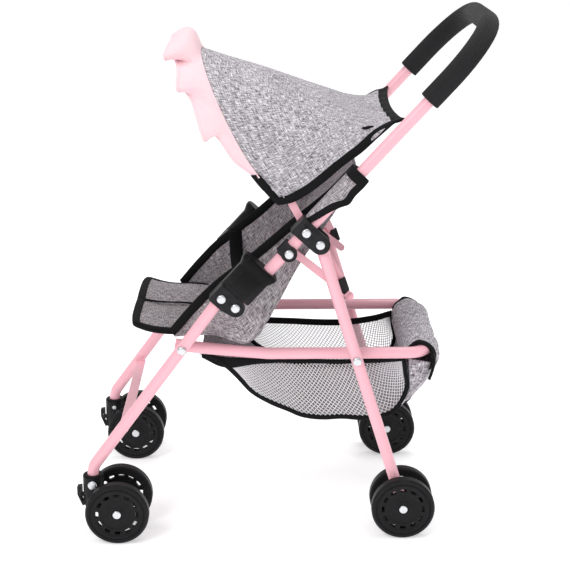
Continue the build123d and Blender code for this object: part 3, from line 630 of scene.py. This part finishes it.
def make_frill(hood, hood_normal, front_run):
    """Gathered pink cloth sewn along the canopy's front edge, folded in loose flutes."""
    seam_run = front_run[-1]
    place = np.linspace(FRILL_ENDS, seam_run - FRILL_ENDS, FRILL_COLS)
    seam = np.stack([np.interp(place, front_run, hood[0, :, k]) for k in range(3)], 1)
    seam_n = unit(np.stack([np.interp(place, front_run, hood_normal[0, :, k])
                            for k in range(3)], 1))
    seam_t = unit(np.gradient(seam, axis=0))
    from_crown = place - seam_run / 2
    middle = from_crown / (seam_run / 2 - FRILL_ENDS)             # -1 to 1 over the crown
    reach = FRILL_REACH * np.clip(1 - np.abs(middle) ** 2.6, 0, 1) ** 0.8 + 0.0015
    droop = np.clip(np.abs(middle) * 1.3, 0, 1)
    forward = unit(np.stack([0 * middle, -1.0 + 0 * middle, 0.22 - 0.5 * droop], 1))
    arch = CURL_HEIGHT * np.exp(-((from_crown / CURL_HALF) ** 4))
    carry, lift, push = flute_moves(from_crown)
    v = np.linspace(0, 1, FRILL_ROWS)[:, None, None]              # seam to hem
    swell = (reach / FRILL_REACH)[None, :, None]
    frill = (seam[None] + forward[None] * (reach[None, :, None] * v
                                           + swell * v**1.2 * push[None, :, None])
             + seam_n[None] * (0.0006 + swell * v**1.1 * lift[None, :, None]
                               + np.sin(2.75 * v) * arch[None, :, None])
             + seam_t[None] * swell * v**1.25 * carry[None, :, None])
    down = v[..., 0]
    fine = ripples(9, np.linspace(0, 26, FRILL_COLS)[None, :] + 0 * down, down * 1.5)
    frill = frill + seam_n[None] * (0.0007 * fine * (1 - down) * down * 4)[..., None]
    canopy_frill = surface("canopy_ruffle", frill, PALE_PINK)
    thicken(canopy_frill, 0.0008)
    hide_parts("canopy_frill")
    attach(canopy_frill, "canopy_frame")
    hem = tape("ruffle_hem", frill[-1], unit(frill[-2] - frill[-1]),
               unit(np.cross(np.gradient(frill[-1], axis=0), frill[-2] - frill[-1])),
               0.003, 0.0014, PALE_PINK)
    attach(hem, "canopy_frame")
    gather = tape("ruffle_seam", seam + seam_n * 0.0008, forward, seam_n, 0.0022, 0.0018,
                  PALE_PINK)
    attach(gather, "canopy_frame")


def make_canopy():
    """Canopy shell with its tape, buttonholes and frill."""
    hood, hood_normal = hood_surface()
    canopy = thicken(surface("canopy", hood, GREY), 0.0012)
    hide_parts("canopy_hood")
    on_canopy(canopy)
    front_run = run_along(hood[0])
    canopy_binding = bind_canopy(hood, hood_normal, front_run)
    canopy_slits = canopy_slit_rims(hood, hood_normal)
    make_frill(hood, hood_normal, front_run)


# ---- seat -----------------------------------------------------------------------------
SEAT_X, PANEL_X = 89.5, 91.0           # half width of the seat, and its side panels' planes
# side-plane lines: the sling from the top of the back to the front of the base, the padded
# band that follows the tubes and the lower edge of the side panel
BACK_PROFILE = [(81, 392), (50, 346), (19.5, 298), (0, 260), (-19, 228.5), (-30, 214.5),
                (-44, 213.0), (-69, 221.0), (-92, 221.5), (-111, 220.5)]
BAND_PROFILE = [(-116.5, 225), (-93, 252.5), (-68.5, 277), (-28, 308.7), (12, 343.5),
                (48, 373), (76, 402)]
PANEL_PROFILE = [(-111.5, 217.2), (-92, 218.6), (-69, 218.6), (-52, 213), (-37, 208.8),
                 (-24, 216.5), (-18.5, 224), (0, 257), (21.2, 296.7), (50, 341), (83, 391)]


def cross_sheet(line, half, sag, seed, rough_mm):
    """Sheet across the object over a side profile, sagging square to it in the middle."""
    wide = np.linspace(-1, 1, 61)
    tangent = unit(np.gradient(line, axis=0))
    square = np.stack([-tangent[:, 1], tangent[:, 0]], 1)
    run = np.linspace(0, 1, len(line))[:, None]
    dip = sag * np.sin(run * pi) * (1 - wide[None, :] ** 2)
    dip = dip + rough_mm * ripples(seed, run * 2.2, wide[None, :] * 1.6) * (1 - wide**4)
    y = line[:, None, 0] + square[:, None, 0] * dip
    z = line[:, None, 1] + square[:, None, 1] * dip
    x = np.broadcast_to(half * wide[None, :], y.shape)
    return rows(np.stack([x, y, z], 2))


def side_sheet(top, low, x, bulge, seed, rough_mm):
    """Sheet between two side-plane lines, near the plane at x."""
    down = np.linspace(0, 1, 26)[None, :, None]
    side_plane = top[:, None] * (1 - down) + low[:, None] * down
    run = np.linspace(0, 1, len(top))[:, None]
    away = (bulge * np.sin(down[..., 0] * pi) * np.sin(run * pi)
            + rough_mm * ripples(seed, run * 3.0, down[..., 0] * 1.4)
            * np.sin(down[..., 0] * pi * 0.98) ** 0.5)
    sign = 1 if x > 0 else -1
    return rows(np.concatenate([(x + sign * away)[..., None], side_plane], 2))


def seat_side(side_name, sign):
    """Side panel that hangs from its padded black band, with a welt along its lower edge."""
    grid = side_sheet(spline(BAND_PROFILE, 110), spline(PANEL_PROFILE, 110), sign * PANEL_X,
                      1.3, 20 + sign, 1.3)
    # panel and welt in the darker grey copy, painted shade
    panel = thicken(surface(f"seat_side_{side_name}", grid, SHADED_GREY), 0.0016)
    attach(panel, "handle")
    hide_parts(f"seat_panel_{side_name}")
    out = np.broadcast_to([sign, 0.0, 0.0], grid[:, 0].shape)
    top_band = tape(f"seat_band_{side_name}", grid[:, 0], unit(grid[:, 4] - grid[:, 0]), out,
                    0.0088, 0.0034, BLACK_TAPE, wave=0.0005)
    low_band = tape(f"seat_welt_{side_name}", grid[:, -1], unit(grid[:, -5] - grid[:, -1]), out,
                    0.0020, 0.0030, SHADED_GREY)
    for band, slot in ((top_band, "black_webbing"), (low_band, "grey_fabric")):
        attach(band, "handle")


def make_seat():
    """Sling of the back and base in one sheet, and the two side panels."""
    sling = cross_sheet(spline(BACK_PROFILE, 90), SEAT_X, 4.0, 12, 1.2)
    # sling in the darker grey copy, painted shade
    seat_sling = thicken(surface("seat_sling_cloth", sling, SHADED_GREY), 0.0022)
    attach(seat_sling, "handle")
    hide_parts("seat_sling")
    for side_name, sign in SIDES:
        seat_side(side_name, sign)


# outer edge of an ear: h along the tube, x past its middle, n square to it
EAR_EDGE = [(112, 3.0, 6.0), (125, 9.2, 3.0), (140, 11.6, -1.0), (152, 10.4, -6.5),
            (160, 9.4, -10.8), (170, 8.9, -9.6), (182, 8.5, -10.0), (190, 8.2, -9.6)]


def make_ear(side_name, sign):
    """Top corner of the seat, folded out over the tube, with a bound edge."""
    section = []
    for h, x, n in spline(EAR_EDGE, 60):
        top = TUBE_R + 1.5 + 0.8 * sin(h * 0.21)
        profile = spline([(-21.5, 2.5), (-12, 8.6), (0, top + 0.8), (6.2, top - 2.6), (x, n)], 22)
        section.append([row(sign * (LEG_X + px), *handle_point(h, pn)) for px, pn in profile])
    grid = np.array(section)
    # ear in the darker grey copy, painted shade
    ear = thicken(surface(f"seat_ear_{side_name}", grid, SHADED_GREY), 0.0014)
    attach(ear, "handle")
    facing = normals_of(grid)
    hem = tape(f"ear_hem_{side_name}", grid[:, -1], unit(grid[:, -4] - grid[:, -1]),
               facing[:, -1], 0.0072, 0.0026, BLACK_TAPE, wave=0.0004)
    cuff = tape(f"ear_cuff_{side_name}", grid[-1], unit(grid[-4] - grid[-1]), facing[-1],
                0.0105, 0.0028, BLACK_TAPE)
    bound = join(f"ear_binding_{side_name}", [hem, cuff])
    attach(bound, "handle")
    if side_name == "left":                        # one ear stands in for the CAD's loops
        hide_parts("seat_loops")


# ---- leg rest ---------------------------------------------------------------------------
REST_PROFILE = [(-82, 220.5), (-104, 220.0), (-121, 219.6), (-138, 222.2), (-158.5, 229.6)]
REST_ROWS, REST_COLS = 40, 81
ELASTIC_X = 2.6                        # the two strands, each side of the middle


def rest_surface(rest_line):
    """Grid of the leg rest: two quilted halves, rear to front."""
    wide = np.linspace(-1, 1, REST_COLS)
    rest_mm = []
    for i, (y, z) in enumerate(rest_line):
        s = i / (REST_ROWS - 1)
        corner = 1 - 0.045 * max(0.0, (s - 0.8) / 0.2) ** 2
        quilt = 7.5 * np.clip(np.sin(pi * (0.06 + 0.88 * np.abs(wide))), 0, 1) ** 0.6 - 0.8
        puff = quilt * sin(pi * (0.05 + 0.86 * s)) ** 0.7
        front = -3.2 * (1 - np.abs(wide) ** 6) * s**3 + 3.2 * s**3
        rest_mm.append(np.stack([wide * SEAT_X * corner, y + front + 0 * wide,
                                 z + puff - 0.8 + 0.5 * ripples(31, wide * 3, s * 2)], 1))
    return rows(np.array(rest_mm))


def round_front(rest, inset=0):
    """Line round the sides and front of the leg rest, inset rows or columns from its edge."""
    return np.concatenate([rest[:-1, inset], rest[-1 - inset], rest[-2::-1, -1 - inset]])


def make_leg_rest():
    """Quilted leg rest, bound round its front, with an elastic down the middle."""
    rest_line = spline(REST_PROFILE, REST_ROWS)
    rest = rest_surface(rest_line)
    # leg rest in the darker grey copy, painted shade
    leg_rest = thicken(surface("leg_rest_pad", rest, SHADED_GREY), 0.003)
    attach(leg_rest, "handle")
    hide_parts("leg_rest")
    rim = round_front(rest)
    rim_tape = tape("leg_rest_binding", rim, unit(round_front(rest, 3) - rim),
                    round_front(upward_normals(rest)), 0.0085, 0.0042, BLACK_TAPE)
    strands = []
    for k, bow in ((-1, 5.0), (1, 6.5)):
        path = [row(k * ELASTIC_X, *(rest_line[int(t * (REST_ROWS - 1))]
                                     + np.array([0, 1.4 + bow * sin(t * pi)])))
                for t in np.linspace(0.0, 0.985, 30)]
        strands.append(tube(f"elastic_{k}", spline(path, 60), 0.0009, STRAP, sides=8))
    elastic = join("leg_rest_elastic", strands)
    for piece in (rim_tape, elastic):
        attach(piece, "handle")


# ---- harness ------------------------------------------------------------------------
SIDE_STRAP = [(88.8, -50, 286), (88.0, -50, 274), (82, -49, 257), (60, -46, 241),
              (32, -42, 237), (11, -36, 240)]
CROTCH_STRAP = [(0, -34, 236), (0, -36, 228), (0, -39, 221), (0, -43, 215.5)]


def make_harness():
    """Two side straps and the crotch strap."""
    straps = []
    for sign in (1, -1):
        straps.append(ribbon(f"side_strap_{sign}", [row(sign * x, y, z) for x, y, z in SIDE_STRAP],
                             (-sign * 0.8, 0.25, 0.55), 0.0155, 0.0016, STRAP))
    straps.append(ribbon("crotch_strap", [row(*p) for p in CROTCH_STRAP], (0, -1, 0.4),
                         0.0140, 0.0016, STRAP))
    harness = join("harness_straps", straps)
    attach(harness, "handle")
    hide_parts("harness")


# ---- basket ---------------------------------------------------------------------------
NET_X = 80.0
RIM_PROFILE = [(-84, 195.5), (-62, 189.0), (-30, 187.5), (20, 186.5), (75, 186.0),
               (115, 187.5), (133.5, 189.0)]
FAR_RIM_PROFILE = [(-84, 195.5), (-62, 187.0), (-30, 183.0), (15, 180.5), (70, 178.5),
                   (108, 182.5), (133.5, 189.5)]
BASKET_PROFILE = [(-83.5, 195.0), (-63, 182), (-47, 166.5), (-31, 148.5), (-12, 136.5),
                  (8, 127.5), (24, 120.5), (46, 117.6), (68, 118.4), (92, 117), (116, 120.5),
                  (130, 131), (139.5, 153), (137.5, 172), (135.5, 188)]
BASE_LINE = spline(BASKET_PROFILE, 150)
CELLS_LONG, CELLS_DOWN, YARN = 58, 14, 0.00125
RIM_POINTS = 90


def make_basket_base():
    """Cloth that makes the front, bottom and rear of the basket."""
    base = cross_sheet(BASE_LINE, NET_X, -3.0, 41, 1.6)
    # basket base in the darker grey copy, painted shade
    basket_base = thicken(surface("basket_base", base, SHADED_GREY), 0.0014)
    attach(basket_base, "basket_frame")
    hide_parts("basket_bag")


def net(name, rim_profile, x, bulge):
    """Side of the basket: a diamond net between the rim and the base, with real holes."""
    long_steps, down_steps = 2 * CELLS_LONG + 1, 2 * CELLS_DOWN + 1
    top = spline(rim_profile, long_steps)
    low = even(BASE_LINE[: int(len(BASE_LINE) * 0.992)], long_steps)
    verts, index, faces = [], {}, []
    sign = 1 if x > 0 else -1
    for i in range(long_steps):
        for j in range(down_steps):
            if (i + j) % 2:
                continue
            d, r = j / (down_steps - 1), i / (long_steps - 1)
            y, z = top[i] * (1 - d) + low[i] * d
            away = (bulge * sin(d * pi) * sin(r * pi) + 1.3 * sin(r * 17 + d * 4) * sin(d * pi))
            index[i, j] = len(verts)
            verts.append(row(x + sign * away, y, z))
    for i in range(long_steps):
        for j in range(down_steps):
            ring = [(i - 1, j), (i, j - 1), (i + 1, j), (i, j + 1)]
            if (i + j) % 2 and all(k in index for k in ring):
                faces.append([index[k] for k in ring])
    obj = new_object(name, verts, faces, NET)
    mod = obj.modifiers.new("yarn", "WIREFRAME")
    mod.thickness = YARN
    mod.use_even_offset = False
    mod.use_relative_offset = False
    return obj


def basket_side(side_name, sign, rim_profile):
    """Net, with a welt along the base cloth and a wider rim above."""
    side_net = net(f"basket_net_{side_name}", rim_profile, sign * (NET_X + 0.4), 1.4)
    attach(side_net, "basket_frame")
    edge = np.array([row(sign * (NET_X + 0.4), y, z) for y, z in BASE_LINE])
    inner = np.gradient(edge, axis=0)
    inner = unit(np.stack([0 * inner[:, 0], -inner[:, 2], inner[:, 1]], 1))
    out = np.broadcast_to([sign, 0.0, 0.0], edge.shape)
    welt = tape(f"basket_welt_{side_name}", edge, inner, out, 0.0046, 0.0036, BLACK_TAPE,
                wave=0.0005)
    rim_edge = np.array([row(sign * (NET_X + 0.2), y, z)
                         for y, z in spline(rim_profile, RIM_POINTS)])
    down = np.broadcast_to([0.0, 0.0, -1.0], rim_edge.shape)
    t = np.linspace(0, 1, RIM_POINTS)
    rim_w = 0.0046 + 0.0062 * np.exp(-((t - 0.13) / 0.11) ** 2) + (0.0022 if sign < 0 else 0)
    rim = tape(f"basket_rim_{side_name}", rim_edge, down, out[:RIM_POINTS], rim_w, 0.0026,
               BLACK_TAPE, wave=0.0004)
    trim = join(f"basket_binding_{side_name}", [welt, rim])
    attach(trim, "basket_frame")


# ---- flap over the rear crossbar -----------------------------------------------------
WRAP_PROFILE = [(134.5, 176), (134.8, 189), (138.5, 198.0), (146, 203.5), (154.5, 205.4),
                (164, 203.2), (171.0, 196.5), (173.0, 187.0), (169, 175), (161, 160),
                (151, 146), (141.5, 136)]
WRAP_HALF, CORNER_X, CORNER_R = 81.5, 63.0, 24.0
WRAP_ROWS, WRAP_COLS = 64, 97
OVER_BAR = slice(8, 41)                # rows whose ends are bound
BELOW_BAR = slice(36, None)            # rows that the corner cloth is sewn to
CORNER_EDGE = [(138.5, 187), (139.8, 168), (140.5, 153), (131, 131.5)]
PULL_TAB = [(84.5, 163.5, 194), (86.5, 165.5, 186), (87, 164.0, 176), (86.5, 161.0, 166)]


def wrap_surface():
    """Grid of the flap: over the bar and down behind it, drawn forward round the bar's
    corners, with loose diagonal folds."""
    line = spline(WRAP_PROFILE, WRAP_ROWS)
    wide = np.linspace(-1, 1, WRAP_COLS)
    run = np.linspace(0, 1, WRAP_ROWS)[:, None]
    x = WRAP_HALF * wide
    past = np.clip(np.abs(x) - CORNER_X, 0, CORNER_R - 0.5)
    shift = CORNER_R - np.sqrt(CORNER_R**2 - past**2)
    on_bar = np.clip((run - 0.22) / 0.12, 0, 1)
    folds = (1.7 * ripples(52, run * 2.6, wide[None] * 3.4)
             + 1.2 * np.sin(wide[None] * 19 + run * 7)
             * np.exp(-((np.abs(wide[None]) - 0.8) / 0.25) ** 2))
    tangent = unit(np.gradient(line, axis=0))
    hug = np.sin(run * pi) ** 0.4
    y = line[:, 0][:, None] - shift[None] * on_bar - tangent[:, 1][:, None] * folds * hug
    z = line[:, 1][:, None] + tangent[:, 0][:, None] * folds * hug
    return rows(np.stack([np.broadcast_to(x[None], y.shape), y, z], 2))


def make_flap(wrap):
    """Cloth wrapped over the rear crossbar, bound over the bar and along its lower edge."""
    basket_wrap = thicken(surface("basket_flap", wrap, GREY), 0.0016)
    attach(basket_wrap, "basket_frame")
    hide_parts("basket_wrap")
    wrap_n = normals_of(wrap)
    hems = [tape(f"wrap_hem_{k}", wrap[OVER_BAR, k], unit(wrap[OVER_BAR, m] - wrap[OVER_BAR, k]),
                 wrap_n[OVER_BAR, k], 0.0062, 0.0032, BLACK_TAPE, wave=0.0004)
            for k, m in ((0, 3), (-1, -4))]
    hems.append(tape("wrap_hem_low", wrap[-1], unit(wrap[-3] - wrap[-1]), wrap_n[-1], 0.004,
                     0.0028, BLACK_TAPE))
    wrap_binding = join("flap_binding", hems)
    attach(wrap_binding, "basket_frame")


def make_corner(side_name, sign, wrap):
    """Cloth that closes a rear corner of the basket, between the side net and the flap."""
    points = 30
    inner_edge = even(np.array(CORNER_EDGE), points)
    inner_edge = np.array([row(sign * (NET_X - 0.6), *p) for p in inner_edge])
    outer_edge = even(wrap[BELOW_BAR, -1 if sign > 0 else 0], points)
    t = np.linspace(0, 1, 12)[None, :, None]
    corner = inner_edge[:, None] * (1 - t) + outer_edge[:, None] * t
    corner[..., 0] += (sign * 0.0016 * np.sin(t[..., 0] * pi)
                       * np.sin(np.linspace(0, 9, points))[:, None])
    gusset = thicken(surface(f"basket_corner_{side_name}", corner, GREY), 0.0014)
    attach(gusset, "basket_frame")


def make_basket():
    """Base, nets, flap, corners and the pull tab."""
    make_basket_base()
    for (side_name, sign), rim_profile in zip(SIDES, (RIM_PROFILE, FAR_RIM_PROFILE)):
        basket_side(side_name, sign, rim_profile)
    wrap = wrap_surface()
    make_flap(wrap)
    for side_name, sign in SIDES:
        make_corner(side_name, sign, wrap)
    tab = ribbon("pull_tab", [row(*p) for p in PULL_TAB], (0.2, 1, 0.1), 0.0085, 0.0028, STRAP)
    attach(tab, "basket_frame")
    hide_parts("strap_tab")


# ---- grip ------------------------------------------------------------------------------
GRIP_START, CROSSBAR_H, BEND_R = 290.0, 386.0, 69.0
GRIP_R, RIBS_ROUND, RIB_DEPTH = 10.65, 32, 0.36
GRIP_RINGS, BEND_STEPS = 150, 18
# rings that close an end, from the outside in: short of the end face by, radius
GRIP_END = [(0.15, GRIP_R - 0.8), (0.0, GRIP_R - 1.8), (0.0, TUBE_R + 0.1)]
END_REACH = 0.9


def grip_centre_line():
    """Middle of the handle tube under the foam, from the left end over to the right."""
    half_path = [(LEG_X, GRIP_START), (LEG_X, CROSSBAR_H - BEND_R)]
    for k in range(1, BEND_STEPS + 1):
        a = k / BEND_STEPS * pi / 2
        half_path.append((LEG_X - BEND_R * (1 - cos(a)), CROSSBAR_H - BEND_R * (1 - sin(a))))
    half_path.append((0.0, CROSSBAR_H))
    full = half_path + [(-px, ph) for px, ph in half_path[-2::-1]]
    return even(np.array([row(px, *handle_point(ph, 0)) for px, ph in full]), GRIP_RINGS)


def make_grip():
    """Foam grip with fine ribs along it and rounded ends."""
    path = grip_centre_line()
    tangent = unit(np.gradient(path, axis=0))
    up = np.array(row(0, *handle_point(0, 1))) - np.array(row(0, *handle_point(0, 0)))
    up = unit(up[None])
    beside = unit(np.cross(tangent, up))
    angle = np.linspace(0, 2 * pi, RIBS_ROUND * 6, endpoint=False)

    def ring(centre, k, radius):
        around = np.cos(angle)[:, None] * beside[k] + np.sin(angle)[:, None] * up[0]
        return centre + MM * radius * around

    ribbed = (GRIP_R + RIB_DEPTH * np.cos(angle * RIBS_ROUND))[:, None]
    rings = [ring(path[i], i, ribbed) for i in range(GRIP_RINGS)]
    for short, r in GRIP_END:
        out = MM * (END_REACH - short)
        first = ring(path[0] - tangent[0] * out, 0, r)
        last = ring(path[-1] + tangent[-1] * out, -1, r)
        rings = [first] + rings + [last]
    grip = surface("foam_grip", np.array(rings), FOAM, ring=True)
    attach(grip, "handle")
    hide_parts("handle_grip")


# ---- floor, light, camera ----------------------------------------------------------------
FLOOR_HALF = 30.0
CENTRE = Vector((0, 0, 0.27))          # what the lights look at
PITCH, YAW, ROLL = radians(16.74), radians(0.57), radians(-0.12)
CAMERA_PLACE, FOCAL_MM = (1.51818, -0.01214, 0.70270), 89.56


def make_floor():
    """Wide pale floor that glows a little, so that it stays white far from the lights."""
    finish = Shader("studio_floor", Roughness=0.6, Specular_IOR_Level=0.1)
    finish.colour((0.94, 0.94, 0.95, 1))
    finish.bsdf.inputs["Emission Color"].default_value = (1, 1, 1, 1)
    finish.bsdf.inputs["Emission Strength"].default_value = 0.42
    corners = [(-FLOOR_HALF, -FLOOR_HALF, 0), (FLOOR_HALF, -FLOOR_HALF, 0),
               (FLOOR_HALF, FLOOR_HALF, 0), (-FLOOR_HALF, FLOOR_HALF, 0)]
    floor = new_object("floor", corners, [(0, 1, 2, 3)], finish.mat, smooth=False)


def white_world():
    """White surroundings that light the object less than they show behind it."""
    world = bpy.data.worlds.new("studio")
    world.use_nodes = True
    backdrop = world.node_tree.nodes["Background"]
    backdrop.inputs["Color"].default_value = (1.0, 1.0, 1.0, 1)
    ray = world.node_tree.nodes.new("ShaderNodeLightPath")
    level = world.node_tree.nodes.new("ShaderNodeMapRange")
    level.inputs["To Min"].default_value = 0.62        # light on the object
    level.inputs["To Max"].default_value = 1.0         # white paper behind it
    world.node_tree.links.new(ray.outputs["Is Camera Ray"], level.inputs["Value"])
    world.node_tree.links.new(level.outputs[0], backdrop.inputs["Strength"])
    bpy.context.scene.world = world
    bpy.context.scene.view_settings.view_transform = "Standard"


def area_light(name, position, size, power):
    """Soft light that looks at the middle of the object."""
    light = bpy.data.lights.new(name, "AREA")
    light.shape = "RECTANGLE"
    light.size, light.size_y = size
    light.energy = power
    obj = bpy.data.objects.new(name, light)
    obj.location = position
    obj.rotation_euler = (CENTRE - Vector(position)).to_track_quat("-Z", "Y").to_euler()
    bpy.context.scene.collection.objects.link(obj)


def make_camera():
    """Camera at the photograph's angle: from the left side, a little above."""
    look = Vector((-cos(PITCH) * cos(YAW), cos(PITCH) * sin(YAW), -sin(PITCH)))
    right = Vector((sin(YAW), cos(YAW), 0))
    upward = right.cross(look)
    right_rolled = right * cos(ROLL) + upward * sin(ROLL)
    up_rolled = upward * cos(ROLL) - right * sin(ROLL)
    camera = bpy.data.cameras.new("camera")
    camera.sensor_width = 36.0
    camera.lens = FOCAL_MM
    camera_obj = bpy.data.objects.new("camera", camera)
    turn = Matrix((right_rolled, up_rolled, -look)).transposed().to_4x4()
    camera_obj.matrix_world = Matrix.Translation(CAMERA_PLACE) @ turn
    bpy.context.scene.collection.objects.link(camera_obj)
    bpy.context.scene.camera = camera_obj


# ---- everything, in order ------------------------------------------------------------
finish_hard_parts()
make_canopy()
make_seat()
for ear_side, ear_sign in SIDES:
    make_ear(ear_side, ear_sign)
make_leg_rest()
make_harness()
make_basket()
make_grip()
make_floor()
white_world()
area_light("key", (1.5, -1.1, 1.9), (0.9, 0.9), 19)
area_light("top", (-0.3, 0.3, 2.2), (1.2, 1.0), 15)
area_light("fill", (1.6, 1.5, 0.9), (1.2, 1.2), 2)
make_camera()
